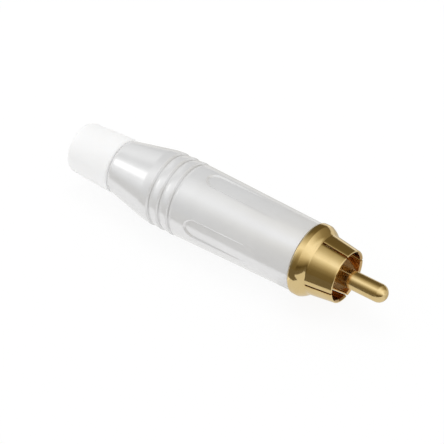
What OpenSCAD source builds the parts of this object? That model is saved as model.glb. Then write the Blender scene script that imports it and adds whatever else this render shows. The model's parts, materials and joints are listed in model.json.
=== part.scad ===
// Phono (RCA) cable plug with its axis along X and the pin towards +X.
// Lengths are in millimetres. Inside the modules the plug's axis is Z, the pin points to +Z
// and Z = 0 is the rear face of the gold collar, which the shell is screwed up to.

/* [Centre pin] */
// Diameter of the pin
pin_d = 3.2; // [3:0.05:3.4]
// Distance from the collar's rear face to the tip of the pin
pin_reach = 15.2; // [13.5:0.1:16]
// Diameter of the shank that passes through the insulator
shank_d = 2.6; // [2.2:0.1:2.8]
// Length of the solder cup behind the insulator
cup_len = 5; // [4:0.25:6]
// Wall of the solder cup
cup_wall = 0.4; // [0.3:0.05:0.5]

/* [Ground sleeve] */
// Distance from the collar's rear face to the rim of the petals
sleeve_reach = 7.5; // [6.5:0.1:8.5]
// Outside diameter of the petals at the rim
rim_d = 9.35; // [9:0.05:9.6]
// Outside diameter of the petals at their root
root_d = 10.65; // [10.2:0.05:11]
// Wall of the petals
petal_wall = 0.5; // [0.4:0.05:0.6]
// Number of slots between the petals
slot_count = 4; // [3:1:6]
// Width of a slot
slot_w = 0.35; // [0.2:0.05:0.6]
// Turn of the first slot about the axis, in degrees
slot_turn = 4; // [0:1:45]
// Diameter of the collar
collar_d = 12.7; // [12.4:0.1:13.2]
// Length of the collar with its rounded shoulder
collar_len = 2.65; // [2.2:0.05:3]
// Length of the straight band of the collar
collar_band = 1.15; // [0.8:0.05:1.6]
// Outside diameter of the thread that the shell screws onto
thread_d = 10; // [9.6:0.1:10.2]
// Length of the thread
thread_len = 7; // [6:0.25:9]

/* [Insulator and tag] */
// Diameter of the insulator
insulator_d = 7; // [6.6:0.1:7.4]
// Length of the insulator's body
insulator_len = 6.2; // [5:0.1:7]
// Diameter of the insulator's rear boss
boss_d = 4.2; // [3.8:0.1:4.6]
// Thickness of the tag's sheet metal
tag_t = 0.6; // [0.4:0.05:0.8]
// Width of the tag's strip
tag_w = 3.2; // [2.4:0.1:4]
// Length of the strip from the ring to the crimp ears
tag_len = 9; // [7:0.5:12]
// Length of the crimp ears along the cable
ear_len = 3; // [2:0.25:4]
// Wall of the insulating sleeve
liner_wall = 0.35; // [0.25:0.05:0.5]
// Length of the insulating sleeve
liner_len = 20; // [16:0.5:22]

/* [Shell] */
// Length of the shell
shell_len = 38.45; // [36:0.25:42]
// Diameter of the shell at its front edge
front_d = 12.2; // [12:0.05:12.4]
// Diameter of the body where it meets the rings
body_d = 13.2; // [12.9:0.05:13.4]
// Diameter of the rings at their front edge
ring_d = 13.6; // [13.4:0.05:14]
// Rise of each ring from its rear to its front edge
ring_rise = 0.15; // [0:0.05:0.2]
// Number of rings, each with a groove in front of it
ring_count = 3; // [2:1:4]
// Distance from one groove to the next
ring_pitch = 2.1; // [1.8:0.05:2.3]
// Width of a groove
groove_w = 0.9; // [0.8:0.05:1.1]
// Depth of a groove
groove_depth = 0.4; // [0.2:0.05:0.4]
// Length of the rear cone
cone_len = 8.2; // [7:0.1:10]
// Diameter of the cone at its rear rim
tail_d = 9.6; // [9.4:0.1:10.4]
// Wall of the cone beside the boot
tail_wall = 0.8; // [0.6:0.05:0.9]
// Thickness of the rear lip that holds the boot
lip_t = 1.2; // [0.8:0.1:1.6]

/* [Pockets] */
// Number of pockets round the body
pocket_count = 4; // [3:1:6]
// Width of a pocket
pocket_w = 3.4; // [2.4:0.1:4]
// Diameter of the straight floor, which runs out where the body tapers to it
pocket_floor_d = 12.44; // [12.3:0.02:12.6]
// Distance from the collar's rear face to the round end of a pocket
pocket_rear = 20.8; // [18:0.2:22]
// Turn of the first pocket about the axis, in degrees
pocket_turn = -6; // [-45:1:45]

/* [Cable boot] */
// Length of the boot behind the shell
boot_len = 9; // [7:0.25:12]
// Diameter of the boot next to the shell
boot_front_d = 10.1; // [9:0.1:10.4]
// Diameter of the boot near its rear end
boot_rear_d = 9.2; // [8.6:0.1:9.8]
// Rounding of the rear edge
boot_round = 0.9; // [0.4:0.1:1.1]
// Diameter of the neck in the shell's rear lip
neck_d = 7.3; // [7:0.05:7.5]
// Diameter of the hole for the cable
cable_d = 6.2; // [5:0.1:6.4]

/* [Fits] */
// Gap between the shell and the collar, and between the shell and the boot
seat_gap = 0.15; // [0.1:0.05:0.3]
// Radial clearance of the thread
thread_clear = 0.08; // [0.05:0.01:0.12]
// Radial clearance of the boot's neck and flange
neck_clear = 0.12; // [0.08:0.02:0.16]
// Radial clearance of pressed pieces
press_gap = 0.02; // [0.01:0.01:0.04]
// Radial room between the insulating sleeve and the shell
liner_room = 0.3; // [0.2:0.05:0.4]

/* [Hidden] */

// Overlap of a cutting shape past the face that it opens
cut = 1;
// Sides of a round surface
round_fn = 128;
// Angle between the points of a rounded edge
arc_step = 15;
// Bevels that break sharp edges
edge = 0.15;
tail_edge = 0.3;
collar_edge = 0.2;

// Ground sleeve: round shoulder, rim, web behind the petals, lip that stops the insulator, thread relief
// and rear stub
shoulder_bend = 28;
shoulder_steps = 6;
rim_face = 0.1;
web_drop = 0.35;
lip_len = 1;
lip_step = 0.5;
slot_stand = 0.15;
relief_w = 0.8;
relief_depth = 0.45;
stub_len = 1.6;
web_front = collar_len - web_drop;
lip_rear = web_front - lip_len;
slot_root = collar_len + slot_stand;
lip_d = insulator_d - 2 * lip_step;
relief_d = thread_d - 2 * relief_depth;
seat_d = insulator_d + 2 * press_gap;
spigot_rear = -thread_len - stub_len;
shoulder_drop = (collar_d - root_d) / 2;
shoulder_len = collar_len - collar_band;
shoulder_r = norm([shoulder_drop, shoulder_len]) / 2 / sin(shoulder_bend / 2);
shoulder_start = atan2(shoulder_drop, shoulder_len) - shoulder_bend / 2;
lead_in = petal_wall - edge - rim_face;

// Insulator, pin and tag
boss_stand = 0.7;
cup_floor = 1;
insulator_rear = lip_rear - insulator_len;
boss_rear = insulator_rear - tag_t - boss_stand;
pin_shoulder = web_front + press_gap;
nose_z = pin_reach - pin_d / 2;
cup_front = boss_rear - cup_floor;
cup_rear = boss_rear - cup_len;
ear_gap = insulator_d / 2;

// Shell
bore_d = thread_d + 2 * thread_clear;
shell_front = -seat_gap;
shell_rear = shell_front - shell_len;
cone_front = shell_rear + cone_len;
body_rear = cone_front + ring_count * ring_pitch;
lip_front = shell_rear + lip_t;
ring_root_d = ring_d - 2 * ring_rise;
cone_slope = (ring_root_d - tail_d) / 2 / cone_len;
groove_r = (groove_w * groove_w / 4 + groove_depth * groove_depth) / 2 / groove_depth;
nest_d = tail_d + 2 * cone_slope * lip_t - 2 * tail_wall;

// Insulating sleeve
liner_d = bore_d - 2 * liner_room;
stub_d = liner_d - 2 * liner_wall - 2 * press_gap;
liner_front = -thread_len - press_gap;

// Boot
boot_front = shell_rear - seat_gap;
boot_rear = boot_front - boot_len;
flange_t = 1.2;
flange_rear = lip_front + seat_gap;
flange_d = nest_d - 2 * neck_clear;

// Place of the plug: the middle of the pin's straight length is the origin
pin_mid = (pin_shoulder + nose_z) / 2;
module along_x() translate([-pin_mid, 0, 0]) rotate([0, 90, 0]) children();

// Body of revolution from a profile of radius and height
module turned() rotate_extrude($fn = round_fn) children();

// Hole along the axis between two heights
module bore(d, low, high) translate([0, 0, low]) cylinder(d = d, h = high - low, $fn = round_fn);

// Tube along the axis between two heights
module tube(outer_d, inner_d, low, high) {
    difference() {
        bore(outer_d, low, high);
        bore(inner_d, low - cut, high + cut);
    }
}

// Half section of the shell without its holes: body, rings and cone
module shell_section() {
    rings = [for (i = [0 : ring_count - 1]) each [
        [ring_root_d / 2, cone_front + i * ring_pitch],
        [ring_d / 2, cone_front + (i + 1) * ring_pitch],
    ]];
    difference() {
        polygon(concat(
            [
                [0, shell_rear],
                [tail_d / 2 - tail_edge, shell_rear],
                [tail_d / 2, shell_rear + tail_edge],
            ],
            rings,
            [
                [body_d / 2, body_rear],
                [front_d / 2, shell_front - edge],
                [front_d / 2 - edge, shell_front],
                [0, shell_front],
            ]
        ));
        for (i = [1 : ring_count])
            translate([ring_d / 2 - groove_depth + groove_r, cone_front + i * ring_pitch])
                circle(r = groove_r, $fn = round_fn);
    }
}

// One pocket: a slot with a round rear end over a floor that is concentric with the plug
module pocket_cut() {
    end_r = pocket_w / 2;
    outline = concat(
        [[-shell_front, -end_r]],
        [for (a = [-90 : arc_step : 90]) [pocket_rear - end_r + end_r * cos(a), end_r * sin(a)]],
        [[-shell_front, end_r]]
    );
    difference() {
        rotate([0, 90, 0]) linear_extrude(ring_d) polygon(outline);
        bore(pocket_floor_d, shell_rear, cut);
    }
}

module shell() {
    color("gainsboro") along_x() difference() {
        turned() shell_section();
        bore(bore_d, cone_front, cut);
        translate([0, 0, lip_front])
            cylinder(d1 = nest_d, d2 = bore_d, h = cone_front - lip_front, $fn = round_fn);
        bore(neck_d + 2 * neck_clear, shell_rear - cut, lip_front + cut);
        for (i = [0 : pocket_count - 1])
            rotate(pocket_turn + i * 360 / pocket_count) pocket_cut();
    }
}

module cable_boot() {
    round_arc = [for (a = [0 : arc_step : 90])
        [boot_rear_d / 2 - boot_round * (1 - cos(a)), boot_rear + boot_round * (1 - sin(a))]];
    color("whitesmoke") along_x() difference() {
        turned() polygon(concat(
            [
                [0, flange_rear + flange_t],
                [flange_d / 2, flange_rear + flange_t],
                [flange_d / 2, flange_rear],
                [neck_d / 2, flange_rear],
                [neck_d / 2, boot_front],
                [boot_front_d / 2 - edge, boot_front],
                [boot_front_d / 2, boot_front - edge],
            ],
            round_arc,
            [[0, boot_rear]]
        ));
        bore(cable_d, boot_rear - cut, flange_rear + flange_t + cut);
    }
}

// Half section of the ground sleeve: stub, thread, collar with its round shoulder, petals and seat
module ground_sleeve_section() {
    shoulder = [for (i = [0 : shoulder_steps])
        let (a = shoulder_start + i * shoulder_bend / shoulder_steps) [
            collar_d / 2 + shoulder_r * (cos(a) - cos(shoulder_start)),
            collar_band + shoulder_r * (sin(a) - sin(shoulder_start)),
        ]];
    polygon(concat(
        [
            [seat_d / 2, spigot_rear],
            [stub_d / 2, spigot_rear],
            [stub_d / 2, -thread_len],
            [thread_d / 2 - edge, -thread_len],
            [thread_d / 2, -thread_len + edge],
            [thread_d / 2, -relief_w],
            [relief_d / 2, -relief_w],
            [relief_d / 2, 0],
            [collar_d / 2 - collar_edge, 0],
            [collar_d / 2, collar_edge],
        ],
        shoulder,
        [
            [rim_d / 2, sleeve_reach - edge],
            [rim_d / 2 - edge, sleeve_reach],
            [rim_d / 2 - petal_wall + lead_in, sleeve_reach],
            [rim_d / 2 - petal_wall, sleeve_reach - lead_in],
            [root_d / 2 - petal_wall, collar_len],
            [root_d / 2 - petal_wall, web_front],
            [lip_d / 2, web_front],
            [lip_d / 2, lip_rear],
            [seat_d / 2, lip_rear],
        ]
    ));
}

module ground_sleeve() {
    color("goldenrod") along_x() difference() {
        turned() ground_sleeve_section();
        for (i = [0 : slot_count - 1])
            rotate(slot_turn + i * 360 / slot_count)
                translate([0, -slot_w / 2, slot_root])
                    cube([root_d, slot_w, sleeve_reach]);
    }
}

module centre_pin() {
    pin_r = pin_d / 2;
    nose = [for (a = [0 : arc_step / 2 : 90]) [pin_r * cos(a), nose_z + pin_r * sin(a)]];
    color("gold") along_x() difference() {
        turned() polygon(concat(
            [[0, cup_rear], [shank_d / 2, cup_rear], [shank_d / 2, pin_shoulder], [pin_r, pin_shoulder]],
            nose
        ));
        bore(shank_d - 2 * cup_wall, cup_rear - cut, cup_front);
        translate([-shank_d, -shank_d, cup_rear - cut])
            cube([shank_d, 2 * shank_d, (cup_front - cup_rear) / 2 + cut]);
    }
}

module pin_insulator() {
    color("ivory") along_x() difference() {
        turned() polygon([
            [0, boss_rear],
            [boss_d / 2, boss_rear],
            [boss_d / 2, insulator_rear],
            [insulator_d / 2, insulator_rear],
            [insulator_d / 2, lip_rear - press_gap],
            [lip_d / 2 - press_gap, lip_rear - press_gap],
            [lip_d / 2 - press_gap, web_front],
            [0, web_front],
        ]);
        bore(shank_d + 2 * press_gap, boss_rear - cut, web_front + cut);
    }
}

module ground_tag() {
    outer_d = insulator_d;
    inner_d = outer_d - 2 * tag_t;
    ring_front = insulator_rear - press_gap;
    strip_rear = ring_front - tag_t - tag_len;
    color("khaki") along_x() {
        tube(outer_d, boss_d + 2 * press_gap, ring_front - tag_t, ring_front);
        intersection() {
            tube(outer_d, inner_d, strip_rear, ring_front);
            translate([0, -tag_w / 2, strip_rear]) cube([outer_d, tag_w, tag_len + tag_t]);
        }
        difference() {
            tube(outer_d, inner_d, strip_rear - ear_len, strip_rear);
            translate([-outer_d, -ear_gap / 2, strip_rear - ear_len - cut])
                cube([outer_d, ear_gap, ear_len + 2 * cut]);
        }
    }
}

module insulating_sleeve() {
    color("white") along_x() tube(liner_d, liner_d - 2 * liner_wall, liner_front - liner_len, liner_front);
}

shell();
cable_boot();
ground_sleeve();
centre_pin();
pin_insulator();
ground_tag();
insulating_sleeve();
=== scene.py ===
"""Looks of a phono plug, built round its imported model.

Stations along the plug are in millimetres from the rear face of the gold collar, positive towards the pin.
Radii are in millimetres from the plug's axis.
"""

import json
import math
from functools import partial

import bmesh
import bpy
from bpy.props import FloatProperty, FloatVectorProperty, IntProperty, PointerProperty
from mathutils import Matrix, Vector


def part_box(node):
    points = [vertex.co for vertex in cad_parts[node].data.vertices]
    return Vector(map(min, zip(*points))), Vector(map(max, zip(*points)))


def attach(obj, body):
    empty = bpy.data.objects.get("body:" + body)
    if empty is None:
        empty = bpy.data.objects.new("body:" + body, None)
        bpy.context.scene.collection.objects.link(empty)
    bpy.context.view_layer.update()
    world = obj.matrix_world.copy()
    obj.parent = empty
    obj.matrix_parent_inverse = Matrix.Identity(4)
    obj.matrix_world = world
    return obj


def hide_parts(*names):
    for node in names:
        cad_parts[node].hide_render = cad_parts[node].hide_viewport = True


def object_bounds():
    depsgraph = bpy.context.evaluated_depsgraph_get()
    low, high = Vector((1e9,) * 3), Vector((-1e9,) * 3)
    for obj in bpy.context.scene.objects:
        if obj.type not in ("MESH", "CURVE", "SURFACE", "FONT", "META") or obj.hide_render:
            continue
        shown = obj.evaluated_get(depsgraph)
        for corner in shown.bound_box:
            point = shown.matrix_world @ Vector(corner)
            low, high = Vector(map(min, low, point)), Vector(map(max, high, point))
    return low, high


bl_info = {
    "name": "Phono plug",
    "version": (1, 0, 0),
    "blender": (4, 5, 0),
    "location": "3D View > Sidebar > Plug",
    "description": "Builds the pieces, finishes and studio of a phono cable plug",
    "category": "Object",
}

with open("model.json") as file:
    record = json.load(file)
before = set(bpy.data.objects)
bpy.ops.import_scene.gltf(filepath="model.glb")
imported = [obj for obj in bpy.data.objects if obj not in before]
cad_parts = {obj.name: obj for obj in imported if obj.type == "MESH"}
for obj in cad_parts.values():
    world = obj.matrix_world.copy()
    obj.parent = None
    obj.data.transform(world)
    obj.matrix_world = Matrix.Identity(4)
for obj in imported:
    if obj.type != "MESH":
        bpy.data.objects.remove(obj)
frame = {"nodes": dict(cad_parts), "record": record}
CAD_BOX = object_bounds()
MM = 0.001
SEAT_GAP = 0.15
COLLAR_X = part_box("shell")[1].x + SEAT_GAP * MM
THREAD_PITCH = frame["record"]["behaviour"]["couplings"][0]["ratio"] * 2 * math.pi


def measure(node):
    """Rear and front stations of a solid, and its greatest radius."""
    low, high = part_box(node)
    return (low.x - COLLAR_X) / MM, (high.x - COLLAR_X) / MM, high.z / MM


def world_x(station):
    """World X of a station."""
    return COLLAR_X + station * MM


class PlugShellSettings(bpy.types.PropertyGroup):
    """Sizes and colour of the shell"""

    groove_width: FloatProperty(
        name="Groove width", description="Width of each ring groove",
        default=0.0009, unit="LENGTH", precision=5,
    )
    groove_depth: FloatProperty(
        name="Groove depth", description="Depth of each ring groove",
        default=0.0004, unit="LENGTH", precision=5,
    )
    groove_pitch: FloatProperty(
        name="Groove pitch", description="Distance from one groove to the next", default=0.0021, unit="LENGTH"
    )
    groove_count: IntProperty(name="Grooves", description="Number of ring grooves", default=3, min=1, max=5)
    ring_rise: FloatProperty(
        name="Ring rise", description="Rise of each ring to its front edge",
        default=0.00022, unit="LENGTH", precision=5,
    )
    cone_length: FloatProperty(
        name="Cone length", description="Length of the rear cone", default=0.0082, unit="LENGTH"
    )
    pocket_width: FloatProperty(
        name="Pocket width", description="Width of each grip pocket", default=0.0034, unit="LENGTH"
    )
    pocket_floor: FloatProperty(
        name="Pocket floor", description="Radius of the pockets' floor",
        default=0.00622, unit="LENGTH", precision=5,
    )
    pocket_wall: FloatProperty(
        name="Pocket wall", description="Width of the rounded wall",
        default=0.0003, unit="LENGTH", precision=5,
    )
    pocket_turn: FloatProperty(
        name="Pocket turn", description="Angle of the first pocket from straight down",
        default=math.radians(-6), subtype="ANGLE",
    )
    colour: FloatVectorProperty(
        name="Nickel", description="Colour of the satin nickel",
        default=(0.785, 0.785, 0.785), subtype="COLOR",
    )


class PlugContactSettings(bpy.types.PropertyGroup):
    """Sizes and colour of the gold contacts"""

    petal_count: IntProperty(name="Petals", description="Number of spring petals", default=4, min=3, max=6)
    slot_width: FloatProperty(
        name="Slot width", description="Width of the slots between petals",
        default=0.00035, unit="LENGTH", precision=5,
    )
    slot_turn: FloatProperty(
        name="Slot turn", description="Angle of the first slot from straight down",
        default=math.radians(4), subtype="ANGLE",
    )
    petal_wall: FloatProperty(
        name="Petal wall", description="Thickness of the petals", default=0.0005, unit="LENGTH", precision=5
    )
    thread_depth: FloatProperty(
        name="Thread depth", description="Depth of the thread between shell and sleeve",
        default=0.00042, unit="LENGTH", precision=5,
    )
    colour: FloatVectorProperty(
        name="Gold", description="Colour of the gold plate", default=(0.87, 0.67, 0.335), subtype="COLOR"
    )


class PlugPlasticSettings(bpy.types.PropertyGroup):
    """Sizes and colours of the plastic pieces"""

    boot_rounding: FloatProperty(
        name="Boot rounding", description="Rounding of the boot's rear edge", default=0.0009, unit="LENGTH"
    )
    boot_colour: FloatVectorProperty(
        name="Boot", description="Colour of the soft boot", default=(0.90, 0.90, 0.90), subtype="COLOR"
    )
    insulator_colour: FloatVectorProperty(
        name="Insulator", description="Colour of the insulator", default=(0.84, 0.81, 0.73), subtype="COLOR"
    )
    liner_colour: FloatVectorProperty(
        name="Liner", description="Colour of the insulating sleeve",
        default=(0.88, 0.88, 0.86), subtype="COLOR",
    )


class PlugStageSettings(bpy.types.PropertyGroup):
    """Sizes and levels of the studio"""

    floor_half: FloatProperty(
        name="Floor", description="Half of the floor's side", default=1.2, unit="LENGTH"
    )
    # The tent is seen only in the metal: its levels are painted reflections
    tent_radius: FloatProperty(
        name="Tent", description="Radius of the light tent that the metal reflects",
        default=0.25, unit="LENGTH",
    )
    ambient: FloatProperty(name="Ambient", description="Level of the soft light from all round", default=0.87)
    key_power: FloatProperty(
        name="Key", description="Power of the overhead softbox", default=0.40, unit="POWER"
    )


# Mesh tools

TINY = 1e-6
SHARP_EDGE = math.radians(32)
# A corner whose half is wider than this is as good as straight
FLAT_CORNER = math.radians(88)
# Share of a side that a rounding may take, where the side's other end is rounded too and where it isn't
SHARED_SIDE, WHOLE_SIDE = 0.499, 0.95


def rounded_outline(corners, step=math.radians(15)):
    """Points of (station, radius, edge) for an outline of (station, radius, rounding) corners, with arcs.

    The edge is how far a point is into a rounding, up to 1, and negative in an inside corner.
    """
    points = []
    for i, (x, r, rounding) in enumerate(corners):
        here = Vector((x, r))
        ends = (corners[i - 1], corners[(i + 1) % len(corners)])
        sides = [Vector(end[:2]) - here for end in ends]
        if rounding <= 0 or min(side.length for side in sides) < TINY:
            points.append((x, r, 0.0))
            continue
        u, v = (side.normalized() for side in sides)
        half = u.angle(v) / 2
        if half > FLAT_CORNER:
            points.append((x, r, 0.0))
            continue
        room = [s.length * (SHARED_SIDE if end[2] > 0 else WHOLE_SIDE) for s, end in zip(sides, ends)]
        reach = min(rounding / math.tan(half), *room)
        centre = here + (u + v).normalized() * reach / math.cos(half)
        start = here + u * reach - centre
        middle = here - centre
        sweep = math.pi - 2 * half
        if start.x * middle.y < start.y * middle.x:
            sweep = -sweep
        sign = 1 if u.x * v.y > u.y * v.x else -1
        pieces = max(2, math.ceil(abs(sweep) / step))
        for k in range(pieces + 1):
            p = centre + Matrix.Rotation(sweep * k / pieces, 2) @ start
            points.append((p.x, p.y, sign * math.sin(math.pi * k / pieces)))
    return points


def add_rows(points, low, high, spacing, inside, outside):
    """Splits the outline's long steps between two stations and two radii."""
    fine = []
    for (x, r, edge), (x2, r2, edge2) in zip(points, points[1:] + points[:1]):
        fine.append((x, r, edge))
        if not (inside <= r <= outside and inside <= r2 <= outside):
            continue
        a = min(max(x, low), high)
        b = min(max(x2, low), high)
        steps = math.ceil(abs(b - a) / spacing)
        if steps < 1:
            continue
        for k in range(steps + 1):
            s = a + (b - a) * k / steps
            t = (s - x) / (x2 - x)
            if TINY < t < 1 - TINY:
                fine.append((s, r + (r2 - r) * t, edge + (edge2 - edge) * t))
    return fine


def even_angles(count, start=0.0):
    """Angles of a turned piece's columns, the first a share of a step from the lowest place."""
    return [2 * math.pi * (k + start) / count for k in range(count)]


def lathe(name, points, angles):
    """Closed object of an outline turned about the plug's axis, with each point's edge."""
    verts = []
    edges = []
    rings = []
    for x, r, edge in points:
        turns = angles if r >= TINY else angles[:1]
        rings.append([len(verts) + k % len(turns) for k in range(len(angles))])
        verts += [(world_x(x), r * MM * math.sin(a), -r * MM * math.cos(a)) for a in turns]
        edges += [edge] * len(turns)
    faces = []
    for ring, following in zip(rings, rings[1:] + rings[:1]):
        for k in range(len(angles)):
            n = (k + 1) % len(angles)
            corners = list(dict.fromkeys((ring[k], ring[n], following[n], following[k])))
            if len(corners) > 2:
                faces.append(corners)
    return solid(name, verts, faces, edges)


def put(name, data):
    """Object of a mesh, light or camera in the scene."""
    obj = bpy.data.objects.new(name, data)
    bpy.context.scene.collection.objects.link(obj)
    return obj


def solid(name, verts, faces, edges):
    """Object of a closed mesh with outward faces and its 'edge' attribute."""
    mesh = bpy.data.meshes.new(name)
    mesh.from_pydata(verts, [], faces)
    attribute = mesh.attributes.new("edge", "FLOAT", "POINT")
    attribute.data.foreach_set("value", edges)
    bm = bmesh.new()
    bm.from_mesh(mesh)
    bmesh.ops.recalc_face_normals(bm, faces=bm.faces)
    bm.to_mesh(mesh)
    bm.free()
    return put(name, mesh)


def settle_modifiers(obj):
    """Turns what the object's modifiers make into its own plain mesh."""
    depsgraph = bpy.context.evaluated_depsgraph_get()
    mesh = bpy.data.meshes.new_from_object(
        obj.evaluated_get(depsgraph), preserve_all_data_layers=True, depsgraph=depsgraph
    )
    if not mesh.polygons:
        raise RuntimeError(f"{obj.name} came out empty")
    obj.modifiers.clear()
    obj.data = mesh


def combine(obj, other, operation):
    """Cuts the other object from a piece or makes one closed mesh of both, and takes the other away."""
    modifier = obj.modifiers.new("Combine", "BOOLEAN")
    modifier.operation = operation
    modifier.solver = "EXACT"
    modifier.object = other
    settle_modifiers(obj)
    bpy.data.objects.remove(other)


def cut_box(obj, low, high):
    """Cuts a box out of a piece."""
    verts = [(x, y, z) for x in (low[0], high[0]) for y in (low[1], high[1]) for z in (low[2], high[2])]
    faces = [(0, 1, 3, 2), (4, 6, 7, 5), (0, 4, 5, 1), (2, 3, 7, 6), (0, 2, 6, 4), (1, 5, 7, 3)]
    combine(obj, solid("cutting_box", verts, faces, [0.0] * len(verts)), "DIFFERENCE")


def finish_piece(obj, body, slot, *nodes):
    """Shades a piece smooth up to its sharp edges, parents it to its body and hides the imported parts that
    it replaces.
    """
    obj.data.shade_smooth()
    obj.data.set_sharp_from_angle(angle=SHARP_EDGE)
    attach(obj, body)
    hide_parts(*nodes)


# Node tools

# Places of the two colours and of the result on a mix node
MIX_FIRST, MIX_SECOND, MIX_RESULT = 6, 7, 2


def feed(tree, node, values):
    """Gives a node's inputs constants or links, in order or by name."""
    for key, value in values.items() if isinstance(values, dict) else enumerate(values):
        if isinstance(value, bpy.types.NodeSocket):
            tree.links.new(value, node.inputs[key])
        else:
            node.inputs[key].default_value = value


def add(tree, kind, values=(), **settings):
    """New node with its settings and inputs."""
    node = tree.nodes.new(kind)
    for name, value in settings.items():
        setattr(node, name, value)
    feed(tree, node, values)
    return node


def calc(tree, operation, *values):
    """Result of a math node."""
    return add(tree, "ShaderNodeMath", values, operation=operation).outputs[0]


def ease(tree, value, low, high):
    """Smooth step from 0 to 1 as a value goes from low to high."""
    return add(tree, "ShaderNodeMapRange", (value, low, high), interpolation_type="SMOOTHSTEP").outputs[0]


def between(tree, amount, low, high):
    """Number between low and high by an amount of 0 to 1."""
    return calc(tree, "MULTIPLY_ADD", amount, high - low, low)


def minus(tree, value):
    """A value with its sign turned."""
    return calc(tree, "MULTIPLY", value, -1)


def hypot(tree, a, b):
    """Distance over two square steps."""
    return calc(tree, "SQRT", calc(tree, "ADD", calc(tree, "MULTIPLY", a, a), calc(tree, "MULTIPLY", b, b)))


def split(tree, vector):
    """X, Y and Z of a vector."""
    return tuple(add(tree, "ShaderNodeSeparateXYZ", [vector]).outputs)


def own_place(tree):
    """Place of a surface in its object."""
    return add(tree, "ShaderNodeTexCoord").outputs["Object"]


def mix_colour(tree, amount, first, second):
    """Colour between two colours by an amount."""
    first, second = (c if isinstance(c, bpy.types.NodeSocket) else (*c, 1.0) for c in (first, second))
    values = {0: amount, MIX_FIRST: first, MIX_SECOND: second}
    return add(tree, "ShaderNodeMix", values, data_type="RGBA").outputs[MIX_RESULT]


# Geometry node trees

# Where the thread's flank starts and ends between root and crest, its run-out in pitches, and how near a
# point is to the thread's radius to be cut
THREAD_FLANK = (0.14, 0.86)
THREAD_RUNOUT = 0.6
THREAD_REACH = 0.02 * MM


def new_tree(name, sizes, whole=()):
    """Geometry node tree with named inputs for sizes, and the identifiers of its inputs."""
    tree = bpy.data.node_groups.new(name, "GeometryNodeTree")
    tree.is_modifier = True
    socket = tree.interface.new_socket
    socket("Geometry", in_out="INPUT", socket_type="NodeSocketGeometry")
    names = {}
    for label in sizes:
        kind = "NodeSocketInt" if label in whole else "NodeSocketFloat"
        names[label] = socket(label, in_out="INPUT", socket_type=kind).identifier
    names["Finish"] = socket("Finish", in_out="INPUT", socket_type="NodeSocketMaterial").identifier
    socket("Geometry", in_out="OUTPUT", socket_type="NodeSocketGeometry")
    return tree, add(tree, "NodeGroupInput").outputs, names


def close_tree(tree, geometry, finish):
    """Ends a tree with plain geometry in its finish."""
    plain = add(tree, "GeometryNodeRealizeInstances", {"Geometry": geometry})
    painted = add(tree, "GeometryNodeSetMaterial", {"Geometry": plain.outputs[0], "Material": finish})
    add(tree, "NodeGroupOutput", {"Geometry": painted.outputs[0]})


def place_in_turn(tree):
    """X, Y and Z of a point, its radius, and its angle from straight down."""
    x, y, z = split(tree, add(tree, "GeometryNodeInputPosition").outputs[0])
    return (x, y, z), hypot(tree, y, z), calc(tree, "ARCTAN2", y, minus(tree, z))


def set_radius(tree, geometry, place, radius, new_radius):
    """Moves each point to a new radius about the axis."""
    x, y, z = place
    scale = calc(tree, "DIVIDE", new_radius, calc(tree, "MAXIMUM", radius, TINY))
    parts = (x, calc(tree, "MULTIPLY", y, scale), calc(tree, "MULTIPLY", z, scale))
    moved = add(tree, "ShaderNodeCombineXYZ", parts).outputs[0]
    return add(tree, "GeometryNodeSetPosition", {"Geometry": geometry, "Position": moved}).outputs[0]


def pocket_tree():
    """Sinks grip pockets, each a slot with a round rear end and a rounded wall, into a turned body."""
    sizes = ("Count", "Turn", "Width", "Floor radius", "Round end", "Wall")
    tree, given, names = new_tree("Grip pockets", sizes, whole=("Count",))
    do = partial(calc, tree)
    place, radius, angle = place_in_turn(tree)
    half_step = do("DIVIDE", math.pi, given["Count"])
    fold = do("WRAP", do("SUBTRACT", angle, given["Turn"]), half_step, minus(tree, half_step))
    across = do("MULTIPLY", radius, do("SINE", fold))
    behind = do("MAXIMUM", do("SUBTRACT", given["Round end"], place[0]), 0.0)
    past_wall = do("SUBTRACT", hypot(tree, across, behind), do("DIVIDE", given["Width"], 2))
    half_wall = do("DIVIDE", given["Wall"], 2)
    outside = ease(tree, past_wall, minus(tree, half_wall), half_wall)
    depth = do("MAXIMUM", do("SUBTRACT", radius, given["Floor radius"]), 0.0)
    sunk = do("MULTIPLY", depth, do("SUBTRACT", 1.0, outside))
    moved = set_radius(tree, given["Geometry"], place, radius, do("SUBTRACT", radius, sunk))
    close_tree(tree, moved, given["Finish"])
    return tree, names


def thread_tree():
    """Cuts a right-hand screw thread into the points near one radius. A negative depth cuts outwards."""
    tree, given, names = new_tree("Screw thread", ("Radius", "Depth", "Pitch", "Start", "End"))
    do = partial(calc, tree)
    place, radius, angle = place_in_turn(tree)
    turns = do("SUBTRACT", do("DIVIDE", place[0], given["Pitch"]), do("DIVIDE", angle, 2 * math.pi))
    flank = do("ABSOLUTE", do("SUBTRACT", do("MULTIPLY", do("FRACT", turns), 2.0), 1.0))
    form = ease(tree, flank, *THREAD_FLANK)
    runout = do("MULTIPLY", given["Pitch"], THREAD_RUNOUT)
    begun = ease(tree, place[0], given["Start"], do("ADD", given["Start"], runout))
    ended = ease(tree, place[0], do("SUBTRACT", given["End"], runout), given["End"])
    going = do("MULTIPLY", begun, do("SUBTRACT", 1.0, ended))
    near = do("LESS_THAN", do("ABSOLUTE", do("SUBTRACT", radius, given["Radius"])), THREAD_REACH)
    cut = do("MULTIPLY", do("MULTIPLY", going, do("MULTIPLY", form, near)), given["Depth"])
    moved = set_radius(tree, given["Geometry"], place, radius, do("SUBTRACT", radius, cut))
    close_tree(tree, moved, given["Finish"])
    return tree, names


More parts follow.
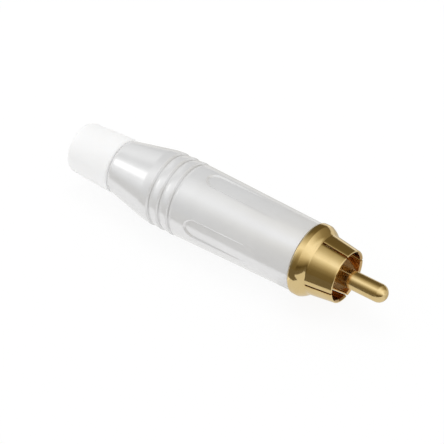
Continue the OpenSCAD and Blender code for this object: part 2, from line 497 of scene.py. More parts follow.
def ring_tree():
    """Repeats a piece evenly round the plug's axis."""
    tree, given, names = new_tree("Petal ring", ("Count", "Turn"), whole=("Count",))
    index = add(tree, "GeometryNodeInputIndex").outputs[0]
    step = calc(tree, "DIVIDE", 2 * math.pi, given["Count"])
    turn = calc(tree, "ADD", calc(tree, "MULTIPLY", index, step), given["Turn"])
    euler = add(tree, "ShaderNodeCombineXYZ", [turn]).outputs[0]
    ring = add(tree, "GeometryNodeInstanceOnPoints", {
        "Points": add(tree, "GeometryNodePoints", {"Count": given["Count"]}).outputs[0],
        "Instance": given["Geometry"],
        "Rotation": add(tree, "FunctionNodeEulerToRotation", [euler]).outputs[0],
    })
    close_tree(tree, ring.outputs[0], given["Finish"])
    return tree, names


def shape_by(obj, tree_and_names, finish, values):
    """Runs a geometry node tree on a piece and keeps the plain mesh that it makes."""
    tree, names = tree_and_names
    modifier = obj.modifiers.new(tree.name, "NODES")
    modifier.node_group = tree
    for label, value in values.items():
        modifier[names[label]] = value
    modifier[names["Finish"]] = finish
    settle_modifiers(obj)


def cut_thread(obj, finish, radius, depth, span):
    """Cuts the plug's thread into a piece between two stations."""
    start, end = (world_x(station) for station in span)
    values = {"Radius": radius * MM, "Depth": depth, "Pitch": THREAD_PITCH, "Start": start, "End": end}
    shape_by(obj, thread_tree(), finish, values)


# Shared effects


def noise(tree, scale, detail, stretch=(1, 1, 1)):
    """Noise over the piece's own place, stretched along its axes."""
    place = add(tree, "ShaderNodeMapping", {"Vector": own_place(tree), "Scale": stretch}).outputs[0]
    values = {"Vector": place, "Scale": scale, "Detail": detail}
    return add(tree, "ShaderNodeTexNoise", values).outputs[0]


def fine_grain(tree, given):
    """Fine blasted grain and broad handling marks."""
    cloud = noise(tree, given["Cloud"], detail=4.0)
    return {"Grain": noise(tree, given["Grain"], detail=2.0), "Cloud": ease(tree, cloud, 0.3, 0.7)}


def turning_marks(tree, given):
    """Fine lines round the axis that a lathe leaves, and faint rubbed lines along it."""
    lines = noise(tree, given["Lines"], detail=2.0, stretch=(1, 0.02, 0.02))
    rubs = noise(tree, given["Rubs"], detail=3.0, stretch=(0.05, 1, 1))
    return {"Lines": lines, "Rubs": ease(tree, rubs, 0.55, 0.75)}


def rubbed_edges(tree, given):
    """Masks of the rounded edges, broken up as handling wears them, and of the inside corners and grooves,
    where shade is painted.
    """
    edge = add(tree, "ShaderNodeAttribute", attribute_name="edge").outputs["Fac"]
    broken = ease(tree, noise(tree, given["Break up"], detail=3.0), 0.25, 0.6)
    raised = calc(tree, "MAXIMUM", edge, 0.0)
    # Inside corners and grooves: the mask of the painted shade
    sunk = calc(tree, "MAXIMUM", minus(tree, edge), 0.0)
    return {"Edge": calc(tree, "MULTIPLY", raised, broken), "Groove": sunk}


# Inputs of each effect with their defaults, and what makes its outputs
EFFECTS = {
    "Fine grain": ({"Grain": 16000.0, "Cloud": 260.0}, fine_grain),
    "Turning marks": ({"Lines": 9000.0, "Rubs": 2600.0}, turning_marks),
    "Rubbed edges": ({"Break up": 1800.0}, rubbed_edges),
}


def effect_group(name):
    """Shader node group of a shared effect."""
    inputs, effect = EFFECTS[name]
    tree = bpy.data.node_groups.new(name, "ShaderNodeTree")
    socket = partial(tree.interface.new_socket, socket_type="NodeSocketFloat")
    for label, default in inputs.items():
        socket(label, in_out="INPUT").default_value = default
    results = effect(tree, add(tree, "NodeGroupInput").outputs)
    for label in results:
        socket(label, in_out="OUTPUT")
    add(tree, "NodeGroupOutput", results)
    return tree


def use_group(tree, name, **values):
    """Outputs of a shared effect, made once, that is placed in a material with its own values."""
    group = bpy.data.node_groups.get(name) or effect_group(name)
    node = add(tree, "ShaderNodeGroup", node_tree=group)
    feed(tree, node, values)
    return node.outputs


# Finishes


def bare_tree(owner):
    """Empty node tree of a material or world."""
    owner.use_nodes = True
    owner.node_tree.nodes.clear()
    return owner.node_tree


def new_finish(name, kind="ShaderNodeBsdfPrincipled"):
    """Material with one main shader, its tree and that shader."""
    material = bpy.data.materials.new(name)
    tree = bare_tree(material)
    shader = add(tree, kind)
    add(tree, "ShaderNodeOutputMaterial", {"Surface": shader.outputs[0]})
    return material, tree, shader


def shaded(colour, factor):
    """Colour times a factor, or times one factor a channel."""
    factors = factor if isinstance(factor, tuple) else (factor,) * 3
    return tuple(c * f for c, f in zip(colour, factors))


def clouded(tree, grain, colour, dark, light):
    """Colour that drifts between two shades of it in broad clouds."""
    return mix_colour(tree, grain["Cloud"], shaded(colour, dark), shaded(colour, light))


def tinted(tree, base, mask, share, colour):
    """Base colour with a share of another where a mask is 1."""
    return mix_colour(tree, calc(tree, "MULTIPLY", mask, share), base, colour)


def bump(tree, height, strength, depth=0.01 * MM):
    """Normal of a surface with a fine height."""
    return add(tree, "ShaderNodeBump", {"Strength": strength, "Distance": depth, "Height": height}).outputs[0]


def satin_nickel(colour):
    """Pale pearl nickel: a blasted die-casting under plate, with rubbed edges and painted shade in its
    grooves.
    """
    material, tree, shader = new_finish("satin_nickel")
    grain = use_group(tree, "Fine grain", Grain=14000.0, Cloud=240.0)
    worn = use_group(tree, "Rubbed edges")
    plain = clouded(tree, grain, colour, dark=0.985, light=1.015)
    rubbed = tinted(tree, plain, worn["Edge"], 0.35, shaded(colour, 1.12))
    rough = between(tree, grain["Grain"], 0.13, 0.23)
    polish = calc(tree, "MULTIPLY", worn["Edge"], 0.05)
    feed(tree, shader, {
        # Painted shade: the grooves darken to 0.72 of the colour
        "Base Color": tinted(tree, rubbed, worn["Groove"], 0.7, shaded(colour, 0.72)),
        "Roughness": calc(tree, "SUBTRACT", rough, polish),
        "Metallic": 0.235,
        "Normal": bump(tree, grain["Grain"], 0.12),
    })
    return material


def within_cone(tree, start, radius, slope, fade=0.1 * MM):
    """1 inside a cone about the plug's axis, which has a radius at a start X and a slope from there on."""
    x, y, z = split(tree, own_place(tree))
    limit = calc(tree, "MULTIPLY_ADD", calc(tree, "SUBTRACT", x, start), slope, radius)
    inside = ease(tree, calc(tree, "SUBTRACT", limit, hypot(tree, y, z)), -fade, fade)
    return calc(tree, "MULTIPLY", inside, calc(tree, "GREATER_THAN", x, start))


def gold_plate(name, colour, lines, rough=0.07, hollow=None):
    """Bright gold plate over turned brass, with painted shade inside a given cone."""
    material, tree, shader = new_finish(name)
    turned = use_group(tree, "Turning marks", Lines=lines)
    grain = use_group(tree, "Fine grain", Grain=12000.0, Cloud=420.0)
    edge = use_group(tree, "Rubbed edges")["Edge"]
    plain = clouded(tree, grain, colour, dark=(0.98, 0.96, 0.92), light=(1.01, 1.02, 1.04))
    rubbed = tinted(tree, plain, edge, 0.3, shaded(colour, (1.06, 1.1, 1.2)))
    if hollow:
        # Painted shade: the gold darkens inside the petals' cone
        rubbed = mix_colour(tree, within_cone(tree, *hollow), rubbed, shaded(colour, (0.74, 0.63, 0.60)))
    lined = between(tree, turned["Lines"], rough, rough + 0.08)
    feed(tree, shader, {
        "Base Color": rubbed,
        "Roughness": calc(tree, "MULTIPLY_ADD", turned["Rubs"], 0.05, lined),
        "Metallic": 1.0,
        "Normal": bump(tree, turned["Lines"], 0.06),
    })
    return material


def moulded_plastic(name, colour, rough, depth=0.01 * MM, milky=0.0):
    """Moulded plastic with a fine matt skin, milky where light goes a little way into it."""
    material, tree, shader = new_finish(name)
    grain = use_group(tree, "Fine grain", Grain=9000.0, Cloud=180.0)
    edge = use_group(tree, "Rubbed edges")["Edge"]
    plain = clouded(tree, grain, colour, dark=(0.985, 0.985, 0.98), light=1.012)
    feed(tree, shader, {
        "Base Color": tinted(tree, plain, edge, 0.25, shaded(colour, 1.03)),
        "Roughness": between(tree, grain["Grain"], rough - 0.06, rough + 0.06),
        "Normal": bump(tree, grain["Grain"], 0.15, depth),
        "Subsurface Weight": milky,
        "Subsurface Radius": (1.0, 0.97, 0.94),
        "Subsurface Scale": 0.8 * MM,
    })
    return material


def turned_plastic(name, colour):
    """Pale plastic rod with the lathe's fine lines."""
    material, tree, shader = new_finish(name)
    lines = use_group(tree, "Turning marks", Lines=7000.0)["Lines"]
    grain = use_group(tree, "Fine grain", Cloud=300.0)
    plain = clouded(tree, grain, colour, dark=0.97, light=1.02)
    feed(tree, shader, {
        "Base Color": tinted(tree, plain, lines, 0.12, shaded(colour, 0.8)),
        "Roughness": between(tree, lines, 0.35, 0.5),
        "Normal": bump(tree, lines, 0.2),
    })
    return material


# Pieces. A corner of an outline is a station, a radius and a rounding.


class PLUG_OT_shell(bpy.types.Operator):
    """Turned shell with ring grooves, grip pockets and a threaded bore"""

    bl_idname = "plug.shell"
    bl_label = "Shell"

    rear, front, ring_r = measure("shell")
    body_r, nose_r, tail_r = 6.6, 6.1, 4.8
    bore_r, nest_r, hole_r = 5.08, 4.271, 3.77
    rim_length, rim_drop, lip_length = 0.6, 0.1, 1.2
    mouth_length, mouth_flare = 0.4, 0.3
    thread_span = (-8.2, -0.55)
    pocket_count, pocket_rear = 4, -20.8
    # How far a groove's rear edge stands below the ring, and its bottom behind its middle and below its depth
    crest_drop, bottom_back, bottom_drop = 0.03, 0.2, 0.12
    # Rows of points at the pockets' round ends, along the pockets and along the thread: first and last
    # station, spacing, and least and greatest radius
    rows = (
        (-21.2, -18.6, 0.07, 6.0, 6.65),
        (-18.6, -5.0, 0.6, 6.0, 6.65),
        (-8.2, -0.6, 0.1, 5.07, 5.09),
    )
    # Radius at which a pocket's wall stands, degrees of close columns on each side of it, and the columns on
    # a pocket's floor, at a wall and between two pockets
    wall_r, wall_side = 6.45, 1.6
    floor_columns, wall_columns, land_columns = 34, 8, 20

    def execute(self, context):
        sizes = context.scene.plug_shell
        shell = lathe("shell_satin", self.outline(sizes), self.columns(sizes))
        finish = satin_nickel(sizes.colour)
        pockets = {
            "Count": self.pocket_count,
            "Turn": sizes.pocket_turn,
            "Width": sizes.pocket_width,
            "Floor radius": sizes.pocket_floor,
            "Round end": world_x(self.pocket_rear) + sizes.pocket_width / 2,
            "Wall": sizes.pocket_wall,
        }
        shape_by(shell, pocket_tree(), finish, pockets)
        cut_thread(shell, finish, self.bore_r, -context.scene.plug_contacts.thread_depth, self.thread_span)
        finish_piece(shell, "shell", "satin_nickel", "shell")
        return {"FINISHED"}

    def outline(self, sizes):
        """Outline from the rear hole over the outside and back through the bore."""
        root_r = self.ring_r - sizes.ring_rise / MM
        cone = self.rear + sizes.cone_length / MM
        lip = self.rear + self.lip_length
        rim_r = self.tail_r + self.rim_length * (root_r - self.tail_r) / (cone - self.rear)
        half = sizes.groove_width / MM / 2
        bottom_r = self.ring_r - sizes.groove_depth / MM - self.bottom_drop
        corners = [
            (self.rear, self.hole_r, 0.12),
            (self.rear, self.tail_r - self.rim_drop, 0.06),
            (self.rear + self.rim_length, rim_r, 0.12),
            (cone, root_r, 0.5),
        ]
        for k in range(1, sizes.groove_count + 1):
            middle = cone + k * sizes.groove_pitch / MM
            corners += [
                (middle - half, self.ring_r - self.crest_drop, 0.1),
                (middle - self.bottom_back, bottom_r, 0.2),
                (middle + half, root_r if k < sizes.groove_count else self.body_r, 0.12),
            ]
        corners += [
            (self.front, self.nose_r, 0.16),
            (self.front, self.bore_r + self.mouth_flare, 0.06),
            (self.front - self.mouth_length, self.bore_r, 0.0),
            (cone, self.bore_r, 0.0),
            (lip, self.nest_r, 0.1),
            (lip, self.hole_r, 0.1),
        ]
        points = rounded_outline(corners)
        for row in self.rows:
            points = add_rows(points, *row)
        return points

    def columns(self, sizes):
        """Angles of the columns, close together at the pockets' walls."""
        step = 360 / self.pocket_count
        wall = math.degrees(math.asin(sizes.pocket_width / 2 / (self.wall_r * MM)))
        floor = wall - self.wall_side
        land = wall + self.wall_side
        spans = (
            (-floor, floor, self.floor_columns),
            (floor, land, self.wall_columns),
            (land, step - land, self.land_columns),
            (step - land, step - floor, self.wall_columns),
        )
        sector = [low + (high - low) * k / count for low, high, count in spans for k in range(count)]
        turn = math.degrees(sizes.pocket_turn)
        return [math.radians(turn + step * k + a) for k in range(self.pocket_count) for a in sector]


class PLUG_OT_ground_sleeve(bpy.types.Operator):
    """Gold collar with its threaded spigot and ring of spring petals"""

    bl_idname = "plug.ground_sleeve"
    bl_label = "Ground sleeve"

    rear, rim, collar_r = measure("ground_sleeve")
    thread_r, thread_span, thread_rows = 5.0, (-6.62, -0.8), 0.09
    # The collar's plain band, the petals' foot under its shoulder, their root and their rim
    band, foot, root = 1.15, 2.65, 2.8
    foot_r, rim_r = 5.325, 4.675
    taper = (rim_r - foot_r) / (rim - foot)
    shoulder_bend, shoulder_steps = math.radians(28), 10
    # Where the painted shade inside the petals starts
    dull_from = 2.0
    # A petal's soft edges, its rounded rim with the lead-in, and how its root reaches into the collar
    soft, rim_round, lead_in = 0.07, 0.1, 0.26
    root_reach, root_inset, root_step = 0.12, 0.03, 0.005
    # A petal's plain length, from its root and from its rim, and the steps along and across it
    plain_from, plain_to, plain_steps, arc_steps = 0.3, 0.4, 6, 22
    # How far the middle of a rounded corner lies from its sides, in radii
    corner_middle = 0.293

    def execute(self, context):
        sizes = context.scene.plug_contacts
        mouth = self.outer_r(self.dull_from) * MM - sizes.petal_wall / 2
        hollow = (world_x(self.dull_from), mouth, self.taper)
        finish = gold_plate("gold_plate", sizes.colour, lines=8000.0, hollow=hollow)
        sleeve = self.collar(sizes, finish)
        petals = self.petal(sizes)
        turn = {"Count": sizes.petal_count, "Turn": sizes.slot_turn + math.pi / sizes.petal_count}
        shape_by(petals, ring_tree(), finish, turn)
        combine(sleeve, petals, "UNION")
        finish_piece(sleeve, "insert", "gold_plate", "ground_sleeve")
        return {"FINISHED"}

    def outer_r(self, x):
        """Outside radius of the tapering petals at a station."""
        return self.foot_r + self.taper * (x - self.foot)

    def shoulder(self):
        """Points of the round shoulder from the collar's band to just above the petals' foot."""
        drop = self.collar_r - self.foot_r
        length = self.foot - self.band
        start = math.atan2(drop, length) - self.shoulder_bend / 2
        round_r = math.hypot(drop, length) / 2 / math.sin(self.shoulder_bend / 2)
        points = []
        for k in range(self.shoulder_steps - 1):
            a = start + self.shoulder_bend * k / self.shoulder_steps
            x = self.band + round_r * (math.sin(a) - math.sin(start))
            points.append((x, self.collar_r + round_r * (math.cos(a) - math.cos(start)), 0.0))
        return points

    def collar(self, sizes, finish):
        """Spigot, collar with its round shoulder, and the ring that the petals grow from."""
        wall = sizes.petal_wall / MM
        root_r = self.outer_r(self.root)
        thread_rear, thread_front = self.thread_span
        corners = [
            (self.rear, 3.52, 0.06),
            (self.rear, 4.41, 0.12),
            (-7.0, 4.41, 0.06),
            (-7.0, 4.62, 0.04),
            (thread_rear, self.thread_r, 0.0),
            (thread_front, self.thread_r, 0.0),
            (thread_front, 4.55, 0.12),
            (0.0, 4.55, 0.12),
            (0.0, self.collar_r, 0.18),
            *self.shoulder(),
            (self.foot, self.foot_r, 0.3),
            (self.root, root_r, 0.0),
            (self.root, root_r - wall, 0.0),
            (self.foot, self.foot_r - wall, 0.0),
            (2.3, self.foot_r - wall, 0.15),
            (2.3, 3.0, 0.06),
            (1.3, 3.0, 0.0),
            (1.3, 3.52, 0.0),
        ]
        near = (self.thread_r - 0.01, self.thread_r + 0.01)
        points = add_rows(rounded_outline(corners), *self.thread_span, self.thread_rows, *near)
        sleeve = lathe("ground_sleeve_gold", points, even_angles(count=160))
        cut_thread(sleeve, finish, self.thread_r, sizes.thread_depth, self.thread_span)
        return sleeve

    def stops(self):
        """Sections along a petal: station, inset outside, lead-in inside and edge."""
        stops = [
            (self.root - self.root_reach, self.root_inset, self.root_inset, 0.0),
            (self.root, self.root_inset, self.root_inset, 0.0),
            (self.root + self.root_step, 0.0, 0.0, 0.0),
        ]
        low = self.root + self.plain_from
        step = (self.rim - self.plain_to - low) / self.plain_steps
        stops += [(low + k * step, 0.0, 0.0, 0.0) for k in range(self.plain_steps + 1)]
        stops.append((self.rim - self.lead_in, 0.0, 0.0, 0.0))
        for k in range(7):
            a = math.radians(15 * k)
            left = self.rim_round * (1 - math.sin(a))
            inset = self.rim_round * (1 - math.cos(a))
            stops.append((self.rim - left, inset, self.lead_in - left, math.sin(2 * a)))
        return stops

    def petal(self, sizes):
        """One petal that tapers to its rim, with softly rounded edges, straight below the axis."""
        half_slot = sizes.slot_width / MM / 2
        spread = math.pi / sizes.petal_count
        verts = []
        edges = []
        faces = []
        stops = self.stops()
        for x, inset, lead, edge in stops:
            outer = self.outer_r(x) - inset
            inner = self.outer_r(x) - sizes.petal_wall / MM + lead
            soft = min(self.soft, (outer - inner) / 2.2)
            gap = half_slot + inset * 0.4
            loop = self.face(outer, -soft, gap, spread) + self.face(inner, soft, gap, spread)[::-1]
            for r, a, corner in loop:
                verts.append((world_x(x), r * math.sin(a) * MM, -r * math.cos(a) * MM))
                edges.append(max(edge, corner))
        width = len(verts) // len(stops)
        last = len(verts) - width
        for row in range(0, last, width):
            for k in range(width):
                a = row + k
                b = row + (k + 1) % width
                faces.append((a, b, b + width, a + width))
        for end in (0, last):
            for k in range(width // 2 - 1):
                far = end + width - 1 - k
                faces.append((end + k, end + k + 1, far - 1, far))
        return solid("petal", verts, faces, edges)

    def face(self, r, inward, gap, spread):
        """Points of (radius, angle, corner) across one face of a petal, with its corners rounded inward."""
        soft = abs(inward)
        reach = spread - math.asin((gap + soft) / r)
        mid_r = r + inward * self.corner_middle
        mid = spread - math.asin((gap + soft * self.corner_middle) / mid_r)
        side_r = r + inward
        side = spread - math.asin(gap / side_r)
        arc = [(r, reach * (2 * k / self.arc_steps - 1), 0.0) for k in range(self.arc_steps + 1)]
        return [(side_r, -side, 0.6), (mid_r, -mid, 1.0), *arc, (mid_r, mid, 1.0), (side_r, side, 0.6)]


class PLUG_OT_centre_pin(bpy.types.Operator):
    """Round-nosed gold pin with its half-open solder cup"""

    bl_idname = "plug.centre_pin"
    bl_label = "Centre pin"

    rear, tip, pin_r = measure("centre_pin")
    shank_r, shank_front, nose_steps = 1.3, 2.32, 16
    cup_r, cup_floor = 0.9, rear + 4.0
    # The cut that opens the cup: its reach behind the pin, into it and to each side
    cut_behind, cut_length, cut_side = 1.0, 2.0, 2.0

    def execute(self, context):
        corners = [
            (self.cup_floor, 0.0, 0.0),
            (self.cup_floor, self.cup_r, 0.15),
            (self.rear, self.cup_r, 0.06),
            (self.rear, self.shank_r, 0.06),
            (self.shank_front, self.shank_r, 0.0),
            (self.shank_front, self.pin_r, 0.05),
            (self.tip - self.pin_r, self.pin_r, 0.0),
        ]
        for k in range(1, self.nose_steps + 1):
            a = math.pi / 2 * k / self.nose_steps
            corners.append((self.tip - self.pin_r * (1 - math.sin(a)), self.pin_r * math.cos(a), 0.0))
        # Half a step of turn keeps the columns off the plane of the cut
        pin = lathe("centre_pin_gold", rounded_outline(corners), even_angles(count=96, start=0.5))
        side = self.cut_side * MM
        low = (world_x(self.rear - self.cut_behind), -side, 0)
        cut_box(pin, low, (world_x(self.rear + self.cut_length), side, side))
        colour = context.scene.plug_contacts.colour
        pin.data.materials.clear()
        pin.data.materials.append(gold_plate("gold_pin", colour, lines=9000.0, rough=0.14))
        finish_piece(pin, "insert", "gold_pin", "centre_pin")
        return {"FINISHED"}


class PLUG_OT_cable_boot(bpy.types.Operator):
    """Soft boot with its neck and flange in the shell's rear lip"""

    bl_idname = "plug.cable_boot"
    bl_label = "Cable boot"

    rear, flange_front = measure("cable_boot")[:2]
    front = measure("shell")[0] - 0.02
    flange_rear = flange_front - 1.2

    def execute(self, context):
        sizes = context.scene.plug_plastics
        corners = [
            (self.rear, 3.1, 0.35),
            (self.rear, 4.6, sizes.boot_rounding / MM),
            (self.front, 5.05, 0.55),
            (self.front, 3.65, 0.05),
            (self.flange_rear, 3.65, 0.1),
            (self.flange_rear, 4.151, 0.15),
            (self.flange_front, 4.151, 0.15),
            (self.flange_front, 3.1, 0.15),
        ]
        points = rounded_outline(corners, step=math.radians(9))
        points = add_rows(points, self.rear, self.front, spacing=1.0, inside=4.5, outside=5.1)
        boot = lathe("cable_boot_soft", points, even_angles(count=128))
        boot.data.materials.append(moulded_plastic("white_boot", sizes.boot_colour, rough=0.42, milky=0.5))
        finish_piece(boot, "boot", "white_boot", "cable_boot")
        return {"FINISHED"}


class PLUG_OT_insulator(bpy.types.Operator):
    """Turned plastic insulator that holds the pin"""

    bl_idname = "plug.insulator"
    bl_label = "Insulator"

    rear, front = measure("pin_insulator")[:2]
    corners = (
        (rear, 1.32, 0.1),
        (rear, 2.1, 0.2),
        (-4.9, 2.1, 0.1),
        (-4.9, 3.5, 0.2),
        (1.28, 3.5, 0.1),
        (1.28, 2.98, 0.05),
        (front, 2.98, 0.12),
        (front, 1.32, 0.1),
    )

    def execute(self, context):
        colour = context.scene.plug_plastics.insulator_colour
        insulator = lathe("pin_insulator_turned", rounded_outline(self.corners), even_angles(count=96))
        insulator.data.materials.append(turned_plastic("insulator_plastic", colour))
        finish_piece(insulator, "insert", "insulator_plastic", "pin_insulator")
        return {"FINISHED"}


class PLUG_OT_inner_pieces(bpy.types.Operator):
    """Finishes of the solder tag and the insulating sleeve, which keep their own shapes"""

    bl_idname = "plug.inner_pieces"
    bl_label = "Inner pieces"

    def execute(self, context):
        plastics = context.scene.plug_plastics
        contacts = context.scene.plug_contacts
        tag = gold_plate("tag_plate", shaded(contacts.colour, (0.95, 0.98, 1.1)), lines=5000.0)
        liner = moulded_plastic("liner_plastic", plastics.liner_colour, rough=0.4, depth=0.005 * MM)
        for node, finish in (("ground_tag", tag), ("insulating_sleeve", liner)):
            data = frame["nodes"][node].data
            data.materials.clear()
            data.materials.append(finish)
        return {"FINISHED"}


# Stage


class PLUG_OT_stage(bpy.types.Operator):
    """Pale floor, tent and floor cards that paint the metal's reflections, softbox and camera"""

    bl_idname = "plug.stage"
    bl_label = "Stage"

    # Level of the tent's painted reflection by its angle from the front horizon over the top, in half turns:
    # behind the plug, and then the zones that take over between two X, beside the shell, near the petals,
    # ahead of the plug and further in front
    behind = (
        (0.0, 0.35), (0.06, 0.55), (0.13, 0.95), (0.25, 1.05), (0.37, 1.05), (0.43, 0.72), (0.48, 0.40),
        (0.54, 0.38), (0.62, 0.72), (0.70, 0.80), (0.80, 0.62), (1.0, 0.4),
    )
    zones = (
        ((-0.27, -0.22), (
            (0.0, 0.15), (0.10, 0.20), (0.18, 0.38), (0.25, 0.66), (0.31, 0.90), (0.36, 1.04), (0.42, 0.93),
            (0.50, 0.64), (0.58, 0.40), (0.64, 0.22), (0.70, 0.14), (0.78, 0.13), (1.0, 0.13),
        )),
        ((-0.105, -0.075), (
            (0.0, 0.15), (0.10, 0.17), (0.18, 0.29), (0.25, 0.52), (0.31, 0.80), (0.36, 1.06), (0.42, 0.93),
            (0.50, 0.64), (0.58, 0.45), (0.64, 0.30), (0.70, 0.17), (0.78, 0.14), (1.0, 0.13),
        )),
        ((-0.03, 0.02), (
            (0.0, 0.14), (0.056, 0.08), (0.16, 0.36), (0.26, 0.80), (0.37, 1.06), (0.47, 1.10), (0.57, 0.87),
            (0.68, 0.52), (0.80, 0.30), (1.0, 0.2),
        )),
        ((0.15, 0.25), (
            (0.0, 0.14), (0.056, 0.10), (0.16, 0.36), (0.26, 0.80), (0.37, 1.06), (0.47, 1.12), (0.57, 1.05),
            (0.68, 0.86), (0.80, 0.70), (1.0, 0.6),
        )),
    )
    tent_ends, tent_steps = (-1.2, 1.2), 48
    # The painted highlight behind the plug, a brighter patch of the tent, by X and by angle, its soft edges
    # as a share, and its added level
    window_along, window_over = (-0.50, -0.30), (0.207, 0.374)
    window_edge, window_gain = 0.06, 1.2
    # The dim painted reflection turns warm between these X, by bending its green and blue down
    warm_from, warm_bends = (-0.135, -0.11), (0.0, 0.13, 0.5)
    # Painted reflections on the floor that the metal alone shows, dark ones for shade and pale ones for the
    # floor:
    # name, layer, reach along and across the plug, and colour
    card_step = 0.00004
    floor_cards = (
        ("pale_card", 1, (-0.012, 0.8), (-0.6, 0.6), (0.72, 0.71, 0.69)),
        ("white_card", 1, (-0.8, -0.012), (-0.6, 0.6), (0.95, 0.94, 0.93)),
        ("front_flag", 2, (-0.8, 0.0), (-0.3, -0.0165), (0.16, 0.135, 0.09)),
        ("far_flag", 2, (0.0, 0.5), (-0.3, -0.036), (0.16, 0.135, 0.09)),
        # Painted shadow: the plug's contact shadow on the floor, as the metal shows it
        ("back_flag", 2, (-0.06, 0.03), (0.002, 0.04), (0.56, 0.54, 0.50)),
        ("rear_flag", 3, (-0.3, -0.03), (0.03, 0.3), (0.56, 0.54, 0.50)),
    )
    floor_colour, floor_glow = (0.97, 0.97, 0.97, 1), 0.9
    key_size, key_target, key_offset = (0.3, 0.25), (-0.025, 0, 0), (-0.05, 0.05, 0.40)
    # The camera's axes, the station it is set up on, and its place from there along its axes in millimetres
    view_right, view_back = (0.8070, 0.5906, 0), (0.4337, -0.5926, 0.6787)
    view_station, view_place, view_lens = -17.09, (-0.4526, -0.922, 326.9), 158.1

    def execute(self, context):
        scene = context.scene
        sizes = scene.plug_stage
        floor_z = CAD_BOX[0].z
        self.world(scene, sizes)
        self.floor(sizes, floor_z)
        self.tent(sizes, floor_z)
        for name, layer, along, across, colour in self.floor_cards:
            self.floor_card(name, along, across, floor_z + layer * self.card_step, colour)
        self.key(sizes)
        self.camera(scene)
        scene.view_settings.view_transform = "Standard"
        return {"FINISHED"}

    def seen(self, tree):
        """1 for rays that show the background: from the camera, a mirror or through glass."""
        path = add(tree, "ShaderNodeLightPath").outputs
        shown = calc(tree, "MAXIMUM", path["Is Camera Ray"], path["Is Glossy Ray"])
        return calc(tree, "MAXIMUM", shown, path["Is Transmission Ray"])

    def world(self, scene, sizes):
        """White to the eye, and soft light of a plain level on the plug."""
        scene.world = bpy.data.worlds.new("studio")
        tree = bare_tree(scene.world)
        level = between(tree, self.seen(tree), sizes.ambient, 1.0)
        back = add(tree, "ShaderNodeBackground", {"Color": (1, 1, 1, 1), "Strength": level})
        add(tree, "ShaderNodeOutputWorld", {"Surface": back.outputs[0]})

    def sheet(self, name, verts, faces, material):
        """Stage sheet in its material."""
        mesh = bpy.data.meshes.new(name)
        mesh.from_pydata(verts, [], faces)
        mesh.materials.append(material)
        obj = put(name, mesh)
        return obj

    def flat(self, name, along, across, z, material):
        """Level stage sheet between two X and two Y."""
        (x1, x2), (y1, y2) = along, across
        verts = [(x1, y1, z), (x2, y1, z), (x2, y2, z), (x1, y2, z)]
        return self.sheet(name, verts, [(0, 1, 2, 3)], material)

    def floor(self, sizes, floor_z):
        """Pale floor that is white to the eye and keeps the plug's shadow."""
        material, tree, mix = new_finish("pale_floor", "ShaderNodeMixShader")
        matt = add(tree, "ShaderNodeBsdfDiffuse", {"Color": self.floor_colour})
        glow = add(tree, "ShaderNodeEmission", {"Strength": 1.0})
        share = calc(tree, "MULTIPLY", self.seen(tree), self.floor_glow)
        feed(tree, mix, (share, matt.outputs[0], glow.outputs[0]))
        reach = (-sizes.floor_half, sizes.floor_half)
        self.flat("floor", reach, reach, floor_z, material)

    def reflected_only(self, obj):
        """Lets a card show in the metal alone."""
        for ray in ("camera", "diffuse", "shadow", "transmission", "volume_scatter"):
            setattr(obj, f"visible_{ray}", False)

    def level(self, tree, turn, bands):
        """Level of the tent's painted reflection by its angle."""
        ramp = add(tree, "ShaderNodeValToRGB", [turn])
        stops = ramp.color_ramp.elements
        while len(stops) < len(bands):
            stops.new(0.5)
        for stop, (place, level) in zip(stops, bands):
            stop.position = place
            stop.color = (level, level, level, 1)
        return ramp.outputs["Color"]

    def warmed(self, tree, level, amount):
        """Colour of a grey level that turns warm, by an amount, where it is dim."""
        bends = [between(tree, amount, 1.0, 1.0 + bend) for bend in self.warm_bends]
        channels = [calc(tree, "POWER", level, bend) for bend in bends]
        return add(tree, "ShaderNodeCombineColor", channels).outputs[0]

    def window(self, tree, value, low, high):
        """1 where a value is between two limits."""
        edge = (high - low) * self.window_edge
        up = ease(tree, value, low, low + edge)
        return calc(tree, "SUBTRACT", up, ease(tree, value, high - edge, high))

    def tent(self, sizes, floor_z):
        """Half-round tent over the plug that only the metal shows, painting its reflections in zones of
        brighter and darker level, with a painted highlight behind.
        """
        material, tree, glow = new_finish("tent_cloth", "ShaderNodeEmission")
        x, y, z = split(tree, own_place(tree))
        turn = calc(tree, "DIVIDE", calc(tree, "ARCTAN2", z, minus(tree, y)), math.pi)
        cloth = self.level(tree, turn, self.behind)
        for limits, bands in self.zones:
            cloth = mix_colour(tree, ease(tree, x, *limits), cloth, self.level(tree, turn, bands))
        # Painted highlight: a brighter patch of the tent that the rear cone reflects
        along = self.window(tree, x, *self.window_along)
        lit = calc(tree, "MULTIPLY", along, self.window(tree, turn, *self.window_over))
        feed(tree, glow, {
            "Color": self.warmed(tree, cloth, ease(tree, x, *self.warm_from)),
            "Strength": calc(tree, "MULTIPLY_ADD", lit, self.window_gain, 1.0),
        })
        radius = sizes.tent_radius
        verts = []
        for k in range(self.tent_steps + 1):
            a = math.pi * k / self.tent_steps
            height = floor_z + radius * math.sin(a)
            verts += [(end, -radius * math.cos(a), height) for end in self.tent_ends]
        faces = [(2 * k, 2 * k + 1, 2 * k + 3, 2 * k + 2) for k in range(self.tent_steps)]
        self.reflected_only(self.sheet("tent", verts, faces, material))

    def floor_card(self, name, along, across, z, colour):
        """Flat glowing sheet on the floor that the metal alone shows: a painted reflection."""
        material, tree, glow = new_finish(name, "ShaderNodeEmission")
        feed(tree, glow, {"Color": (*colour, 1)})
        self.reflected_only(self.flat(name, along, across, z, material))

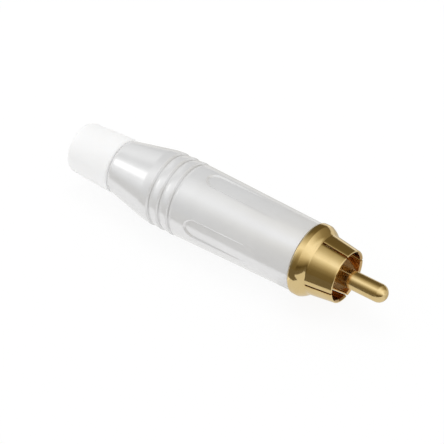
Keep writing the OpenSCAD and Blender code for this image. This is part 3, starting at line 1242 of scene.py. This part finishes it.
    def key(self, sizes):
        """Overhead softbox that shapes the matt surfaces and shows in no mirror."""
        light = bpy.data.lights.new("key", "AREA")
        light.shape = "RECTANGLE"
        light.size, light.size_y = self.key_size
        light.energy = sizes.key_power
        key = put("key", light)
        target = Vector(self.key_target)
        place = target + Vector(self.key_offset)
        turn = (target - place).to_track_quat("-Z", "Y").to_matrix()
        key.matrix_world = Matrix.Translation(place) @ turn.to_4x4()
        key.visible_glossy = False

    def camera(self, scene):
        """Camera at the photograph's angle."""
        back = Vector(self.view_back)
        up = back.cross(Vector(self.view_right)).normalized()
        axes = (up.cross(back).normalized(), up, back)
        place = Vector((world_x(self.view_station), 0, 0))
        for axis, distance in zip(axes, self.view_place):
            place += distance * MM * axis
        data = bpy.data.cameras.new("camera")
        data.sensor_width = 36
        data.lens = self.view_lens
        data.clip_start = 0.01
        scene.camera = put("camera", data)
        scene.camera.matrix_world = Matrix.Translation(place) @ Matrix(axes).transposed().to_4x4()


class PLUG_PT_panel(bpy.types.Panel):
    """Buttons and sizes of the plug"""

    bl_idname = "PLUG_PT_panel"
    bl_label = "Phono plug"
    bl_space_type = "VIEW_3D"
    bl_region_type = "UI"
    bl_category = "Plug"

    def draw(self, context):
        for group in SETTINGS:
            settings = getattr(context.scene, group)
            box = self.layout.box()
            for name in settings.__annotations__:
                box.prop(settings, name)
        for operator in OPERATORS:
            self.layout.operator(operator.bl_idname)


SETTINGS = {
    "plug_shell": PlugShellSettings,
    "plug_contacts": PlugContactSettings,
    "plug_plastics": PlugPlasticSettings,
    "plug_stage": PlugStageSettings,
}
OPERATORS = (
    PLUG_OT_shell,
    PLUG_OT_ground_sleeve,
    PLUG_OT_centre_pin,
    PLUG_OT_cable_boot,
    PLUG_OT_insulator,
    PLUG_OT_inner_pieces,
    PLUG_OT_stage,
)


def register():
    for name, settings in SETTINGS.items():
        bpy.utils.register_class(settings)
        setattr(bpy.types.Scene, name, PointerProperty(type=settings))
    for cls in (*OPERATORS, PLUG_PT_panel):
        bpy.utils.register_class(cls)


def unregister():
    for cls in (PLUG_PT_panel, *reversed(OPERATORS)):
        bpy.utils.unregister_class(cls)
    for name, settings in SETTINGS.items():
        delattr(bpy.types.Scene, name)
        bpy.utils.unregister_class(settings)


def main():
    register()
    bpy.ops.plug.shell()
    bpy.ops.plug.ground_sleeve()
    bpy.ops.plug.centre_pin()
    bpy.ops.plug.cable_boot()
    bpy.ops.plug.insulator()
    bpy.ops.plug.inner_pieces()
    bpy.ops.plug.stage()


if __name__ == "__main__":
    main()
